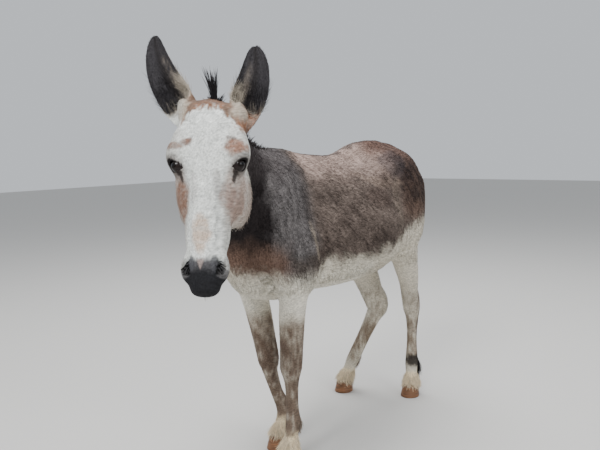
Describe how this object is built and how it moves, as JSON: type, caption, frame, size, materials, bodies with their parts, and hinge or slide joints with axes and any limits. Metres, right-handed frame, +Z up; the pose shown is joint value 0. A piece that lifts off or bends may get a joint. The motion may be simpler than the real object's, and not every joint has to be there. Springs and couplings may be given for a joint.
{
  "type": "standing donkey",
  "caption": "Life-size donkey standing with its head turned to its left: grey-brown coat, white face, dark long ears, pale belly and legs, tufted tail.",
  "frame": {"origin": "on the ground, under the middle of the whole animal's box", "axes": "+Z up; the trunk lies along Y with the rump towards +Y and the breast towards -Y; +X is the animal's left side, to which the head is turned"},
  "size_m": [0.683, 1.7814, 1.6117],
  "materials": {
    "body_coat": "short dense hair, grey-brown with a dark shoulder stripe, cream under the belly, matt with a faint sheen",
    "face_coat": "very short grey-white hair, rust brown at the poll and round the cheeks, dark bare muzzle",
    "leg_coat": "short hair, cream above and mottled grey-brown below the knee",
    "ear_coat": "short dark brown hair, cream long hair inside the base",
    "long_hair": "coarse dark hair in locks",
    "hoof_horn": "horn with growth rings, satin",
    "eye": "wet and glossy, dark brown iris with a wide black pupil"
  },
  "bodies": {
    "root": {"trunk": "body_coat", "neck": "body_coat", "head": "face_coat", "eye_left": "eye", "eye_right": "eye", "ear_left": "ear_coat", "ear_right": "ear_coat", "mane": "long_hair", "forelock": "long_hair", "tail_dock": "body_coat", "tail_tuft": "long_hair", "foreleg_left_upper": "leg_coat", "foreleg_left_lower": "leg_coat", "foreleg_left_hoof": "hoof_horn", "foreleg_right_upper": "leg_coat", "foreleg_right_lower": "leg_coat", "foreleg_right_hoof": "hoof_horn", "hindleg_left_upper": "leg_coat", "hindleg_left_lower": "leg_coat", "hindleg_left_hoof": "hoof_horn", "hindleg_right_upper": "leg_coat", "hindleg_right_lower": "leg_coat", "hindleg_right_hoof": "hoof_horn"}
  },
  "joints": []
}
